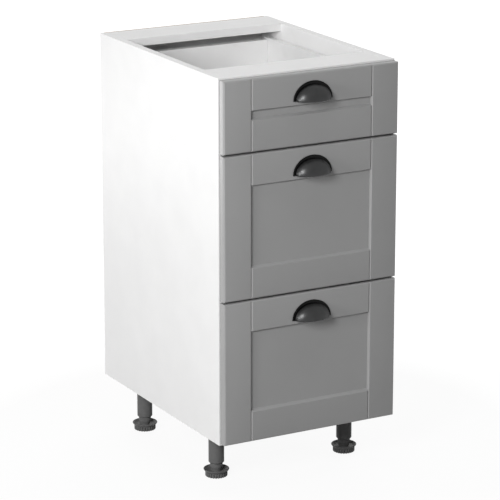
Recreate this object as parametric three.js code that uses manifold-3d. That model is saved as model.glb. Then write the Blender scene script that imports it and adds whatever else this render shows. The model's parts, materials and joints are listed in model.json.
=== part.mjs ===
// Kitchen base cabinet with three drawers: a white board carcass on adjustable plastic legs, grey
// framed fronts with cup handles, and steel-sided drawers that roll on steel runners.
// Millimetres, +Z up, +X to the right as seen from the front, and the fronts face -Y.
// Heights count from the floor and depths from the plane of the carcass's front edges.

import * as THREE from "three";
import { mergeVertices } from "three/addons/utils/BufferGeometryUtils.js";
import Module from "manifold-3d";

const wasm = await Module();
wasm.setup();

// Carcass
const CARCASS_WIDTH = 384;
const CARCASS_HEIGHT = 720;
const CARCASS_DEPTH = 500;
const BOARD = 16;
const TOP_RAIL_WIDTH = 84;
const BACK_BOARD = 3;
const REBATE_DEPTH = 8; // how far the back board's rebate goes into a side
const SEAT_GAP = 0.3; // between two pieces that are fastened to each other

// Legs
const LEG_HEIGHT = 100;
const LEG_FROM_SIDE = 46;
const LEG_FROM_FRONT = 98;
const LEG_FROM_REAR = 90;
const TUBE_RADIUS = 15.5;
const TUBE_CHAMFER = 1.8;
const TUBE_CLEAR_OF_FLOOR = 27.5;
const TUBE_ROOF = 6; // closed top of the tube, over its bore
const SOCKET_PLATE_RADIUS = 30;
const SOCKET_PLATE = 4;
const SOCKET_WALL = 3;
const SOCKET_DEPTH = 12;
const SOCKET_SCREWS = 4;
const SOCKET_SCREW_RADIUS = 2.2;
const SOCKET_SCREW_CIRCLE = 24;
const STEM_RADIUS = 12.4;
const STEM_TAPER = 2.6; // how much thinner the stem is at the dish's floor
const STEM_TAPER_HEIGHT = 8;
const STEM_ENGAGEMENT = 36; // stem inside the tube
const STEM_CLEARANCE = 0.4;
const FOOT_RIM_RADIUS = 25.5;
const FOOT_RIM_HEIGHT = 15;
const FOOT_RIM_LIP = 1.5;
const FOOT_DISH_DEPTH = 4;
const SKIRT_RADIUS = 22;
const SKIRT_HEIGHT = 9.5;
const SKIRT_RIBS = 24;
const SKIRT_RIB = 1.8;

// Drawer fronts
const FRONT_THICKNESS = 18;
const FRONT_STANDOFF = 0.6; // from the carcass's front edges
const FRONT_SIDE_REVEAL = 2;
const FRONT_TOP_REVEAL = 3;
const FRONT_BOTTOM_REVEAL = 4;
const FRONT_GAP = 3.5;
const TOP_FRONT_HEIGHT = 140;
const STILE_WIDTH = 59;
const FRAME_RAIL_WIDTH = 60;
const PANEL_RECESS = 6;
const RECESS_SLOPE = 4; // height of the slope from a rail down to the panel
const JOINT_GROOVE = 2; // half the width, and the depth, of the groove between stile and rail
const FRONT_EDGE_RADIUS = 3.5;

// Cup handles
const HANDLE_WIDTH = 85;
const HANDLE_HEIGHT = 37;
const HANDLE_DEPTH = 25;
const HANDLE_WALL = 2;
const HANDLE_RIM = 4; // flat rim at the cup's ends, against the front
const HANDLE_RIM_TOP = 6.5; // the same rim over the cup
const HANDLE_RIM_THICKNESS = 2;
const HANDLE_FROM_TOP = 16;
const HANDLE_SCREW_SPACING = 64;
const HANDLE_SCREW_HEIGHT = 7; // above the cup's open edge
const HANDLE_SCREW_BITE = 6; // how far a screw goes into its boss
const HANDLE_BOSS_WALL = 1.6;
const SCREW_RADIUS = 2;
const SCREW_HEAD_RADIUS = 4;
const SCREW_HEAD = 2.4;
const SCREW_CLEARANCE = 0.4;

// Drawer boxes
const SHEET = 1.2;
const TOP_SIDE_HEIGHT = 86;
const DEEP_SIDE_HEIGHT = 150;
const BACK_BELOW_SIDE = 4; // top of the box's back board below the tops of its sides
const BOX_PAST_RUNNER = 4.3; // rear end of the box behind the rear end of its runner
const BOX_LIFT = 24; // underside of the box above the lower edge of its front
const BOX_SIDE_SPACE = 16; // from the carcass's inner face to the inner face of the drawer side
const BASE_FLANGE = 18;
const TOP_FOLD = 13.5;
const TOP_FOLD_LIP = 9;
const FOLD_RADIUS = 2.5;
const FRONT_TAB = 18;
const FRONT_TAB_MARGIN = 6;

// Runners and rollers
const ROLLER_RADIUS = 8;
const ROLLER_WIDTH = 7;
const ROLLER_CHAMFER = 0.7;
const ROLLER_GAP = 0.3; // between a roller and the track that it rolls on
const ROLLER_SIDE_GAP = 0.6;
const PIN_RADIUS = 3;
const PIN_CLEARANCE = 0.3;
const PIN_HEAD_RADIUS = 4.8;
const PIN_HEAD = 1;
const RUNNER_SETBACK = 2; // front end of the runner behind the carcass's front edges
const RUNNER_TO_BACK = 45; // from the rear end of the runner to the back board
const RUNNER_FLANGE = 12;
const RUNNER_LIFT = 1.5; // underside of the runner above the underside of the box
const RUNNING_GAP = 1; // between the runner and the drawer's running flange
const FRONT_ROLLER_INSET = 12; // from the front end of the runner
const REAR_ROLLER_INSET = 20; // from the rear end of the drawer side
const ROLLER_WINDOW = 4; // open track beyond the front roller
const RUNNER_OVERLAP = 100; // what the open drawer keeps of its runner's length
const STOP_HEIGHT = 3;
const STOP_LENGTH = 4;
const RUNNER_SCREW_RADIUS = 2.3;
const RUNNER_SCREWS = 3;
const RUNNER_FIRST_SCREW = 37; // from the carcass's front edges
const RUNNER_SCREW_PITCH = 32; // the screws are whole pitches apart
const RUNNER_SCREW_MARGIN = 40; // least from the last screw to the rear end of the runner

const ROUND_SEGMENTS = 24;
const ROLLER_SEGMENTS = 16;
const HOLE_SEGMENTS = 8;
const CUP_SEGMENTS = 24;

// Sizes that follow from those above
const INNER_HALF = CARCASS_WIDTH / 2 - BOARD;
const FRONT_WIDTH = CARCASS_WIDTH - 2 * FRONT_SIDE_REVEAL;
const FRONT_FACE = -FRONT_STANDOFF - FRONT_THICKNESS;
const BOX_HALF = INNER_HALF - BOX_SIDE_SPACE;
const BACK_FACE = CARCASS_DEPTH - BACK_BOARD;
const RUNNER_END = BACK_FACE - RUNNER_TO_BACK;
const RUNNER_LENGTH = RUNNER_END - RUNNER_SETBACK;
const TRAVEL = RUNNER_LENGTH - RUNNER_OVERLAP;
const BOX_START = -FRONT_STANDOFF + SEAT_GAP;
const BOX_END = RUNNER_END + BOX_PAST_RUNNER;
const BOX_LENGTH = BOX_END - BOX_START;
const BASE_TOP = SHEET + SEAT_GAP + BOARD;
const WEB_FACE = SEAT_GAP + SHEET; // runner web's inner face, from the carcass's inner face
const TRACK_BOTTOM = RUNNER_LIFT + SHEET;
const TRACK_TOP = TRACK_BOTTOM + 2 * (ROLLER_RADIUS + ROLLER_GAP);
const RUNNER_TOP = TRACK_TOP + SHEET;
const RUNNING_FLANGE_HEIGHT = RUNNER_TOP + RUNNING_GAP;
const RUNNING_FLANGE_REACH = BOX_SIDE_SPACE - WEB_FACE - ROLLER_SIDE_GAP;
const REAR_ROLLER_Z = TRACK_BOTTOM + ROLLER_GAP + ROLLER_RADIUS;
const FRONT_ROLLER_Z = RUNNING_FLANGE_HEIGHT - ROLLER_GAP - ROLLER_RADIUS;
const FRONT_ROLLER_Y = RUNNER_SETBACK + FRONT_ROLLER_INSET;
const REAR_ROLLER_Y = BOX_END - REAR_ROLLER_INSET;

const FINISHES = {
  melamine: { color: 0xf3f3f3, roughness: 0.45, metalness: 0 },
  lacquer: { color: 0xb4b4b4, roughness: 0.4, metalness: 0 },
  hardboard: { color: 0xe9e8e5, roughness: 0.6, metalness: 0 },
  gunmetal: { color: 0x4a4a4c, roughness: 0.32, metalness: 0.9 },
  blackPlastic: { color: 0x2b2b2c, roughness: 0.42, metalness: 0 },
  whiteSteel: { color: 0xeeeeee, roughness: 0.35, metalness: 0.1 },
  nylon: { color: 0xdedcd6, roughness: 0.5, metalness: 0 },
  zinc: { color: 0xb9bbbd, roughness: 0.35, metalness: 0.9 },
};

// ---- Helpers

function toSolid(geometry) {
  const bare = geometry.clone();
  bare.deleteAttribute("normal");
  bare.deleteAttribute("uv");
  const merged = mergeVertices(bare, 1e-4);
  const corners = merged.index.array;
  const triangles = [];
  for (let i = 0; i < corners.length; i += 3) {
    const [a, b, c] = corners.slice(i, i + 3);
    if (a !== b && b !== c && c !== a) triangles.push(a, b, c);
  }
  const triVerts = new Uint32Array(triangles);
  const vertProperties = new Float32Array(merged.attributes.position.array);
  return new wasm.Manifold(new wasm.Mesh({ numProp: 3, vertProperties, triVerts }));
}

function toGeometry(solid) {
  const mesh = solid.getMesh();
  const geometry = new THREE.BufferGeometry();
  geometry.setAttribute("position", new THREE.BufferAttribute(mesh.vertProperties, 3));
  geometry.setIndex(new THREE.BufferAttribute(mesh.triVerts, 1));
  return geometry;
}

function join(...geometries) {
  return toGeometry(geometries.map(toSolid).reduce((whole, next) => whole.add(next)));
}

function cut(geometry, ...tools) {
  return toGeometry(tools.map(toSolid).reduce((rest, tool) => rest.subtract(tool), toSolid(geometry)));
}

function common(geometry, other) {
  return toGeometry(toSolid(geometry).intersect(toSolid(other)));
}

function mesh(name, geometry, finish, x = 0, y = 0, z = 0) {
  const piece = new THREE.Mesh(geometry, new THREE.MeshStandardMaterial(FINISHES[finish]));
  piece.name = name;
  piece.position.set(x, y, z);
  return piece;
}

function group(x, y, z, ...children) {
  const place = new THREE.Group();
  place.position.set(x, y, z);
  place.add(...children);
  return place;
}

// A box given by its lowest and highest corner.
function block(low, high) {
  const size = high.map((value, i) => value - low[i]);
  const geometry = new THREE.BoxGeometry(...size);
  return geometry.translate(...low.map((value, i) => value + size[i] / 2));
}

// An outline in x and z, drawn out along +Y.
function extrudeAlongY(shape, length) {
  const settings = { depth: length, bevelEnabled: false, curveSegments: 3 };
  const geometry = new THREE.ExtrudeGeometry(shape, settings);
  geometry.rotateX(Math.PI / 2);
  return geometry.translate(0, length, 0);
}

// An outline in y and z, drawn out along +X.
function extrudeAlongX(outline, length) {
  const shape = new THREE.Shape(outline.map(([y, z]) => new THREE.Vector2(y, z)));
  const geometry = new THREE.ExtrudeGeometry(shape, { depth: length, bevelEnabled: false });
  return geometry.rotateX(Math.PI / 2).rotateZ(Math.PI / 2);
}

// A closed profile of radius and height, turned about the Z axis.
function revolve(profile, segments) {
  const points = profile.map(([radius, height]) => new THREE.Vector2(radius, height));
  return new THREE.LatheGeometry(points, segments).rotateX(Math.PI / 2);
}

function cylinderAlongY(radius, from, to, segments) {
  const geometry = new THREE.CylinderGeometry(radius, radius, to - from, segments);
  return geometry.translate(0, (from + to) / 2, 0);
}

// ---- Carcass

function sidePanel(hand) {
  const panel = block([-BOARD / 2, 0, 0], [BOARD / 2, CARCASS_DEPTH, CARCASS_HEIGHT]);
  const inner = -hand * (BOARD / 2);
  const rebateFloor = inner + hand * REBATE_DEPTH;
  const past = inner - hand * BOARD;
  const rebateFront = BACK_FACE - SEAT_GAP;
  const rebate = block(
    [Math.min(rebateFloor, past), rebateFront, -BOARD],
    [Math.max(rebateFloor, past), CARCASS_DEPTH + BOARD, CARCASS_HEIGHT + BOARD],
  );
  return cut(panel, rebate);
}

function crossBoard(depth) {
  const half = INNER_HALF - SEAT_GAP;
  return block([-half, 0, 0], [half, depth, BOARD]);
}

function backBoard() {
  const half = INNER_HALF + REBATE_DEPTH - SEAT_GAP;
  return block([-half, 0, 0], [half, BACK_BOARD, CARCASS_HEIGHT]);
}

function carcass() {
  const sideX = CARCASS_WIDTH / 2 - BOARD / 2;
  const boardDepth = BACK_FACE - SEAT_GAP;
  const railZ = CARCASS_HEIGHT - BOARD;
  return group(0, 0, LEG_HEIGHT,
    mesh("side_panel_left", sidePanel(-1), "melamine", -sideX),
    mesh("side_panel_right", sidePanel(1), "melamine", sideX),
    mesh("bottom_panel", crossBoard(boardDepth), "melamine"),
    mesh("front_top_rail", crossBoard(TOP_RAIL_WIDTH), "melamine", 0, 0, railZ),
    mesh("rear_top_rail", crossBoard(TOP_RAIL_WIDTH), "melamine", 0, boardDepth - TOP_RAIL_WIDTH, railZ),
    mesh("back_panel", backBoard(), "hardboard", 0, BACK_FACE, 0),
  );
}

// ---- Legs

// Round plate screwed under the bottom panel, with the collar that the tube is pushed into.
function legSocket() {
  const bore = TUBE_RADIUS + SEAT_GAP;
  const collar = bore + SOCKET_WALL;
  const plateBottom = -SOCKET_PLATE;
  const mouth = plateBottom - SOCKET_DEPTH;
  const body = revolve([
    [0, plateBottom], [bore, plateBottom], [bore, mouth], [collar, mouth],
    [collar, plateBottom], [SOCKET_PLATE_RADIUS, plateBottom], [SOCKET_PLATE_RADIUS, 0], [0, 0],
  ], ROUND_SEGMENTS);
  const holes = [];
  for (let i = 0; i < SOCKET_SCREWS; i += 1) {
    const angle = (2 * Math.PI * (i + 0.5)) / SOCKET_SCREWS;
    const hole = cylinderAlongY(SOCKET_SCREW_RADIUS, -SOCKET_PLATE * 2, SOCKET_PLATE, HOLE_SEGMENTS);
    hole.rotateX(Math.PI / 2);
    hole.translate(SOCKET_SCREW_CIRCLE * Math.cos(angle), SOCKET_SCREW_CIRCLE * Math.sin(angle), 0);
    holes.push(hole);
  }
  return cut(body, ...holes);
}

// Plastic tube, closed at the top, with the bore that the foot's stem screws into.
function legTube() {
  const top = LEG_HEIGHT - SEAT_GAP - SOCKET_PLATE - SEAT_GAP;
  const bottom = TUBE_CLEAR_OF_FLOOR;
  const bore = STEM_RADIUS + STEM_CLEARANCE;
  return revolve([
    [0, top - TUBE_ROOF], [bore, top - TUBE_ROOF], [bore, bottom], [TUBE_RADIUS - TUBE_CHAMFER, bottom],
    [TUBE_RADIUS, bottom + TUBE_CHAMFER], [TUBE_RADIUS, top], [0, top],
  ], ROUND_SEGMENTS);
}

// Outline of the foot's ribbed skirt: evenly spaced ribs with sloping flanks.
function skirtOutline() {
  const outline = new THREE.Shape();
  const steps = [[0, SKIRT_RADIUS - SKIRT_RIB], [0.3, SKIRT_RADIUS - SKIRT_RIB], [0.45, SKIRT_RADIUS],
    [0.85, SKIRT_RADIUS]];
  for (let i = 0; i < SKIRT_RIBS; i += 1) {
    for (const [part, radius] of steps) {
      const angle = (2 * Math.PI * (i + part)) / SKIRT_RIBS;
      const place = [radius * Math.cos(angle), radius * Math.sin(angle)];
      if (i === 0 && part === 0) outline.moveTo(...place);
      else outline.lineTo(...place);
    }
  }
  return outline;
}

// Foot: ribbed skirt on the floor, flared dish above it, and the stem that goes up into the tube.
function legFoot() {
  const core = SKIRT_RADIUS - SKIRT_RIB - SEAT_GAP;
  const stemTop = TUBE_CLEAR_OF_FLOOR + STEM_ENGAGEMENT;
  const dishFloor = FOOT_RIM_HEIGHT - FOOT_DISH_DEPTH;
  const dishRadius = (STEM_RADIUS + FOOT_RIM_RADIUS) / 2;
  const bowl = revolve([
    [0, 0], [core, 0], [core, SKIRT_HEIGHT - SKIRT_RIB], [SKIRT_RADIUS, SKIRT_HEIGHT],
    [FOOT_RIM_RADIUS - FOOT_RIM_LIP, FOOT_RIM_HEIGHT - 2 * FOOT_RIM_LIP],
    [FOOT_RIM_RADIUS, FOOT_RIM_HEIGHT - FOOT_RIM_LIP / 2],
    [FOOT_RIM_RADIUS - FOOT_RIM_LIP, FOOT_RIM_HEIGHT],
    [dishRadius + FOOT_RIM_LIP, dishFloor], [STEM_RADIUS - STEM_TAPER, dishFloor],
    [STEM_RADIUS, dishFloor + STEM_TAPER_HEIGHT], [STEM_RADIUS, stemTop - STEM_CLEARANCE],
    [STEM_RADIUS - STEM_CLEARANCE, stemTop], [0, stemTop],
  ], ROUND_SEGMENTS);
  const skirt = new THREE.ExtrudeGeometry(skirtOutline(), { depth: SKIRT_HEIGHT, bevelEnabled: false });
  return join(bowl, skirt);
}

function leg(place, x, y) {
  return group(x, y, 0,
    mesh(`leg_socket_${place}`, legSocket(), "blackPlastic", 0, 0, LEG_HEIGHT - SEAT_GAP),
    mesh(`leg_tube_${place}`, legTube(), "blackPlastic"),
    mesh(`leg_foot_${place}`, legFoot(), "blackPlastic"),
  );
}

function legs() {
  const x = CARCASS_WIDTH / 2 - LEG_FROM_SIDE;
  const rear = CARCASS_DEPTH - LEG_FROM_REAR;
  return [
    leg("front_left", -x, LEG_FROM_FRONT),
    leg("front_right", x, LEG_FROM_FRONT),
    leg("rear_left", -x, rear),
    leg("rear_right", x, rear),
  ];
}

// ---- Drawer fronts and handles

// Slab from y = 0 forwards, with its front edges rounded, lower edge at z = 0.
function frontSlab(height) {
  const half = FRONT_WIDTH / 2 - FRONT_EDGE_RADIUS;
  const outline = new THREE.Shape([
    new THREE.Vector2(-half, FRONT_EDGE_RADIUS),
    new THREE.Vector2(half, FRONT_EDGE_RADIUS),
    new THREE.Vector2(half, height - FRONT_EDGE_RADIUS),
    new THREE.Vector2(-half, height - FRONT_EDGE_RADIUS),
  ]);
  const rounded = new THREE.ExtrudeGeometry(outline, {
    depth: FRONT_THICKNESS - FRONT_EDGE_RADIUS,
    bevelSize: FRONT_EDGE_RADIUS,
    bevelThickness: FRONT_EDGE_RADIUS,
    bevelSegments: 4,
  });
  rounded.rotateX(Math.PI / 2);
  const infront = block([-FRONT_WIDTH, -2 * FRONT_THICKNESS, -height], [FRONT_WIDTH, 0, 2 * height]);
  return common(rounded, infront);
}

function handleBottom(frontHeight) {
  return frontHeight - HANDLE_FROM_TOP - HANDLE_HEIGHT;
}

// Space in front of the sunk panel: square against the stiles, sloping up to the rails.
function panelRecess(panelHalf, height) {
  const face = -FRONT_THICKNESS;
  const panel = face + PANEL_RECESS;
  const bottom = FRAME_RAIL_WIDTH;
  const top = height - FRAME_RAIL_WIDTH;
  const outline = [
    [2 * face, bottom], [face, bottom], [panel, bottom + RECESS_SLOPE],
    [panel, top - RECESS_SLOPE], [face, top], [2 * face, top],
  ];
  return extrudeAlongX(outline, 2 * panelHalf).translate(-panelHalf, 0, 0);
}

// Framed front: rails between two stiles, a V groove along each joint, and a sunk centre panel.
function framedFront(height) {
  const panelHalf = FRONT_WIDTH / 2 - STILE_WIDTH;
  const tools = [panelRecess(panelHalf, height)];
  for (const hand of [-1, 1]) {
    const groove = new THREE.CylinderGeometry(JOINT_GROOVE, JOINT_GROOVE, 2 * height, 4);
    groove.rotateX(Math.PI / 2);
    groove.translate(hand * panelHalf, -FRONT_THICKNESS, height / 2);
    const bore = screwHole(-2 * FRONT_THICKNESS, FRONT_THICKNESS);
    bore.translate((hand * HANDLE_SCREW_SPACING) / 2, 0, handleBottom(height) + HANDLE_SCREW_HEIGHT);
    tools.push(groove, bore);
  }
  return cut(frontSlab(height), ...tools);
}

// Clearance hole of a handle screw, along Y.
function screwHole(from, to) {
  return cylinderAlongY(SCREW_RADIUS + SCREW_CLEARANCE, from, to, HOLE_SEGMENTS);
}

function ellipsoid(halfWidth, depth, height) {
  return new THREE.SphereGeometry(1, CUP_SEGMENTS, CUP_SEGMENTS / 2).scale(halfWidth, depth, height);
}

// Cup handle: a quarter of an ellipsoid, open below and behind, with a flat rim round the arch
// and a boss for each screw. Its back is at y = 0 and its open edge at z = 0.
function cupHandle() {
  const halfWidth = HANDLE_WIDTH / 2;
  const cupSize = [halfWidth - HANDLE_RIM, HANDLE_DEPTH, HANDLE_HEIGHT - HANDLE_RIM_TOP];
  const quarter = block([-halfWidth, -HANDLE_DEPTH, 0], [halfWidth, 0, HANDLE_HEIGHT]);
  const cup = common(ellipsoid(...cupSize), quarter);
  const hollow = ellipsoid(...cupSize.map((size) => size - HANDLE_WALL));
  const arch = new THREE.Shape();
  arch.absellipse(0, 0, halfWidth, HANDLE_HEIGHT, 0, Math.PI);
  const rim = new THREE.ExtrudeGeometry(arch, {
    depth: HANDLE_RIM_THICKNESS,
    bevelEnabled: false,
    curveSegments: CUP_SEGMENTS,
  }).rotateX(Math.PI / 2);
  const shell = cut(join(cup, rim), hollow);
  const bosses = [];
  const bores = [];
  for (const hand of [-1, 1]) {
    const boss = cylinderAlongY(bossRadius(), -HANDLE_DEPTH, 0, HOLE_SEGMENTS);
    const bore = screwHole(-HANDLE_SCREW_BITE, HANDLE_DEPTH);
    for (const piece of [boss, bore]) {
      piece.translate((hand * HANDLE_SCREW_SPACING) / 2, 0, HANDLE_SCREW_HEIGHT);
    }
    bosses.push(common(boss, cup));
    bores.push(bore);
  }
  return cut(join(shell, ...bosses), ...bores);
}

function bossRadius() {
  return SCREW_RADIUS + SCREW_CLEARANCE + HANDLE_BOSS_WALL;
}

// Screw from inside the drawer, through the front and into the handle. The head sits on y = 0.
function handleScrew() {
  const shank = FRONT_THICKNESS + 2 * SEAT_GAP + HANDLE_SCREW_BITE - SCREW_CLEARANCE;
  const screw = revolve([
    [0, -SCREW_HEAD], [SCREW_HEAD_RADIUS - SCREW_HEAD / 2, -SCREW_HEAD],
    [SCREW_HEAD_RADIUS, -SCREW_HEAD / 2], [SCREW_HEAD_RADIUS, 0],
    [SCREW_RADIUS, 0], [SCREW_RADIUS, shank], [0, shank],
  ], HOLE_SEGMENTS);
  return screw.rotateX(Math.PI / 2);
}

// ---- Drawer boxes

function roller() {
  const bore = PIN_RADIUS + PIN_CLEARANCE;
  const half = ROLLER_WIDTH / 2;
  const shoulder = half - ROLLER_CHAMFER;
  const ring = revolve([
    [bore, -half], [ROLLER_RADIUS - ROLLER_CHAMFER, -half], [ROLLER_RADIUS, -shoulder],
    [ROLLER_RADIUS, shoulder], [ROLLER_RADIUS - ROLLER_CHAMFER, half], [bore, half], [bore, -half],
  ], ROLLER_SEGMENTS);
  return ring.rotateY(Math.PI / 2);
}

// Riveted roller pin, standing out of a wall at x = 0 towards `direction`.
function rollerPin(direction) {
  const length = ROLLER_WIDTH + 2 * ROLLER_SIDE_GAP;
  const pin = revolve([
    [0, -SHEET / 2], [PIN_RADIUS, -SHEET / 2], [PIN_RADIUS, length], [PIN_HEAD_RADIUS, length],
    [PIN_HEAD_RADIUS, length + PIN_HEAD], [0, length + PIN_HEAD],
  ], HOLE_SEGMENTS);
  return pin.rotateY((direction * Math.PI) / 2);
}

// Section of a drawer side, from its wall's inner face outwards: flange under the drawer's base,
// wall, running flange over the runner, and rounded fold along the top.
function drawerSideSection(height, hand) {
  const section = new THREE.Shape();
  section.moveTo(-hand * BASE_FLANGE, 0);
  section.lineTo(hand * SHEET, 0);
  section.lineTo(hand * SHEET, RUNNING_FLANGE_HEIGHT);
  section.lineTo(hand * RUNNING_FLANGE_REACH, RUNNING_FLANGE_HEIGHT);
  section.lineTo(hand * RUNNING_FLANGE_REACH, RUNNING_FLANGE_HEIGHT + SHEET);
  section.lineTo(hand * SHEET, RUNNING_FLANGE_HEIGHT + SHEET);
  section.lineTo(hand * SHEET, height - SHEET);
  section.lineTo(hand * (TOP_FOLD - SHEET), height - SHEET);
  section.lineTo(hand * (TOP_FOLD - SHEET), height - TOP_FOLD_LIP);
  section.lineTo(hand * TOP_FOLD, height - TOP_FOLD_LIP);
  section.lineTo(hand * TOP_FOLD, height - FOLD_RADIUS);
  section.quadraticCurveTo(hand * TOP_FOLD, height, hand * (TOP_FOLD - FOLD_RADIUS), height);
  section.lineTo(0, height);
  section.lineTo(0, SHEET);
  section.lineTo(-hand * BASE_FLANGE, SHEET);
  return section;
}

// Bent steel drawer side with the tab that is screwed to the front and the rear roller's pin.
function drawerSide(height, hand) {
  const sheet = extrudeAlongY(drawerSideSection(height, hand), BOX_LENGTH);
  const tabReach = -hand * FRONT_TAB;
  const tab = block(
    [Math.min(tabReach, hand * SHEET), 0, BASE_TOP + FRONT_TAB_MARGIN],
    [Math.max(tabReach, hand * SHEET), SHEET, height - TOP_FOLD_LIP - FRONT_TAB_MARGIN],
  );
  const pin = rollerPin(hand);
  pin.translate(hand * SHEET, REAR_ROLLER_Y - BOX_START, REAR_ROLLER_Z);
  return join(sheet, tab, pin);
}

function drawerBase() {
  const half = BOX_HALF - SEAT_GAP;
  return block([-half, 0, 0], [half, BOX_LENGTH, BOARD]);
}

function drawerBack(height) {
  const half = BOX_HALF - SEAT_GAP;
  return block([-half, 0, 0], [half, BOARD, height - BACK_BELOW_SIDE - BASE_TOP - SEAT_GAP]);
}

// Everything that slides, in a frame with z = 0 at the lower edge of the drawer's front.
function drawer(name, bottom, frontHeight, sideHeight) {
  const screwZ = handleBottom(frontHeight) + HANDLE_SCREW_HEIGHT;
  const handleY = FRONT_FACE - SEAT_GAP;
  const pieces = [
    mesh(`${name}_drawer_front`, framedFront(frontHeight), "lacquer", 0, -FRONT_STANDOFF, 0),
    mesh(`${name}_drawer_handle`, cupHandle(), "gunmetal", 0, handleY, handleBottom(frontHeight)),
    mesh(`${name}_drawer_base`, drawerBase(), "melamine", 0, BOX_START, BOX_LIFT + SHEET + SEAT_GAP),
    mesh(`${name}_drawer_back`, drawerBack(sideHeight), "melamine", 0, BOX_END - BOARD,
      BOX_LIFT + BASE_TOP + SEAT_GAP),
  ];
  const rollerX = BOX_HALF + SHEET + ROLLER_SIDE_GAP + ROLLER_WIDTH / 2;
  for (const [side, hand] of [["left", -1], ["right", 1]]) {
    const screwX = (hand * HANDLE_SCREW_SPACING) / 2;
    const wall = drawerSide(sideHeight, hand);
    const rollerZ = BOX_LIFT + REAR_ROLLER_Z;
    pieces.push(
      mesh(`${name}_drawer_screw_${side}`, handleScrew(), "zinc", screwX, BOX_START, screwZ),
      mesh(`${name}_drawer_side_${side}`, wall, "whiteSteel", hand * BOX_HALF, BOX_START, BOX_LIFT),
      mesh(`${name}_drawer_roller_${side}`, roller(), "nylon", hand * rollerX, REAR_ROLLER_Y, rollerZ),
    );
  }
  return group(0, 0, bottom, ...pieces);
}

// ---- Runners

// Channel screwed to the carcass side: the drawer's rear roller runs in it, the front roller turns
// on it, and a lug near its front end stops the rear roller. x = 0 is the carcass's inner face.
function cabinetRunner(hand) {
  const outline = [
    [SEAT_GAP, 0], [RUNNER_FLANGE, 0], [RUNNER_FLANGE, SHEET], [WEB_FACE, SHEET],
    [WEB_FACE, RUNNER_TOP - RUNNER_LIFT - SHEET], [RUNNER_FLANGE, RUNNER_TOP - RUNNER_LIFT - SHEET],
    [RUNNER_FLANGE, RUNNER_TOP - RUNNER_LIFT], [SEAT_GAP, RUNNER_TOP - RUNNER_LIFT],
  ];
  const section = new THREE.Shape(outline.map(([x, z]) => new THREE.Vector2(-hand * x, z)));
  const channel = extrudeAlongY(section, RUNNER_LENGTH);
  const windowEnd = FRONT_ROLLER_INSET + ROLLER_RADIUS + ROLLER_WINDOW;
  const window = block(
    [-RUNNER_FLANGE, -RUNNER_FLANGE, TRACK_TOP - RUNNER_LIFT - SHEET],
    [RUNNER_FLANGE, windowEnd, RUNNER_TOP + SHEET],
  );
  const keep = block([-WEB_FACE, -RUNNER_FLANGE, 0], [WEB_FACE, windowEnd, RUNNER_TOP + SHEET]);
  const holes = runnerScrewPlaces().map((place) => {
    const hole = cylinderAlongY(RUNNER_SCREW_RADIUS, -2 * WEB_FACE, 2 * WEB_FACE, HOLE_SEGMENTS);
    hole.rotateZ(Math.PI / 2);
    return hole.translate(0, place - RUNNER_SETBACK, (TRACK_BOTTOM + TRACK_TOP) / 2 - RUNNER_LIFT);
  });
  const pin = rollerPin(-hand);
  pin.translate(-hand * WEB_FACE, FRONT_ROLLER_INSET, FRONT_ROLLER_Z - RUNNER_LIFT);
  const opened = cut(channel, cut(window, keep), ...holes);
  return join(opened, pin, stopLug(hand));
}

// Distances from the carcass's front edges, spread evenly in whole pitches.
function runnerScrewPlaces() {
  const room = RUNNER_END - RUNNER_SCREW_MARGIN - RUNNER_FIRST_SCREW;
  const pitches = Math.floor(room / RUNNER_SCREW_PITCH);
  const places = [];
  for (let i = 0; i < RUNNER_SCREWS; i += 1) {
    const step = Math.floor((pitches * i) / (RUNNER_SCREWS - 1));
    places.push(RUNNER_FIRST_SCREW + step * RUNNER_SCREW_PITCH);
  }
  return places;
}

// The lug meets the rear roller's rim just past full travel.
function stopLug(hand) {
  const drop = ROLLER_RADIUS + ROLLER_GAP - STOP_HEIGHT;
  const reach = Math.sqrt(ROLLER_RADIUS ** 2 - drop ** 2);
  const rearFace = REAR_ROLLER_Y - TRAVEL - reach - ROLLER_GAP - RUNNER_SETBACK;
  const far = -hand * RUNNER_FLANGE;
  const near = -hand * SEAT_GAP;
  return block(
    [Math.min(near, far), rearFace - STOP_LENGTH, 0],
    [Math.max(near, far), rearFace, SHEET + STOP_HEIGHT],
  );
}

function runnerPair(name, boxBottom) {
  const pieces = [];
  const rollerX = INNER_HALF - WEB_FACE - ROLLER_SIDE_GAP - ROLLER_WIDTH / 2;
  for (const [side, hand] of [["left", -1], ["right", 1]]) {
    const x = hand * rollerX;
    const runner = cabinetRunner(hand);
    pieces.push(
      mesh(`${name}_runner_${side}`, runner, "whiteSteel", hand * INNER_HALF, RUNNER_SETBACK, RUNNER_LIFT),
      mesh(`${name}_runner_roller_${side}`, roller(), "nylon", x, FRONT_ROLLER_Y, FRONT_ROLLER_Z),
    );
  }
  return group(0, 0, boxBottom, ...pieces);
}

// ---- Assembly

const frontsHeight = CARCASS_HEIGHT - FRONT_TOP_REVEAL - FRONT_BOTTOM_REVEAL;
const deepFrontHeight = (frontsHeight - TOP_FRONT_HEIGHT - 2 * FRONT_GAP) / 2;
const layout = [
  { name: "bottom", frontHeight: deepFrontHeight, sideHeight: DEEP_SIDE_HEIGHT },
  { name: "middle", frontHeight: deepFrontHeight, sideHeight: DEEP_SIDE_HEIGHT },
  { name: "top", frontHeight: TOP_FRONT_HEIGHT, sideHeight: TOP_SIDE_HEIGHT },
];

// The origin is on the floor, in the middle of the whole cabinet with its handles.
const foremost = FRONT_FACE - SEAT_GAP - HANDLE_DEPTH;
const cabinet = group(0, -(CARCASS_DEPTH + foremost) / 2, 0, carcass(), ...legs());
let bottom = LEG_HEIGHT + FRONT_BOTTOM_REVEAL;
for (const { name, frontHeight, sideHeight } of layout) {
  cabinet.add(drawer(name, bottom, frontHeight, sideHeight), runnerPair(name, bottom + BOX_LIFT));
  bottom += frontHeight + FRONT_GAP;
}

export default cabinet;
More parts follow.
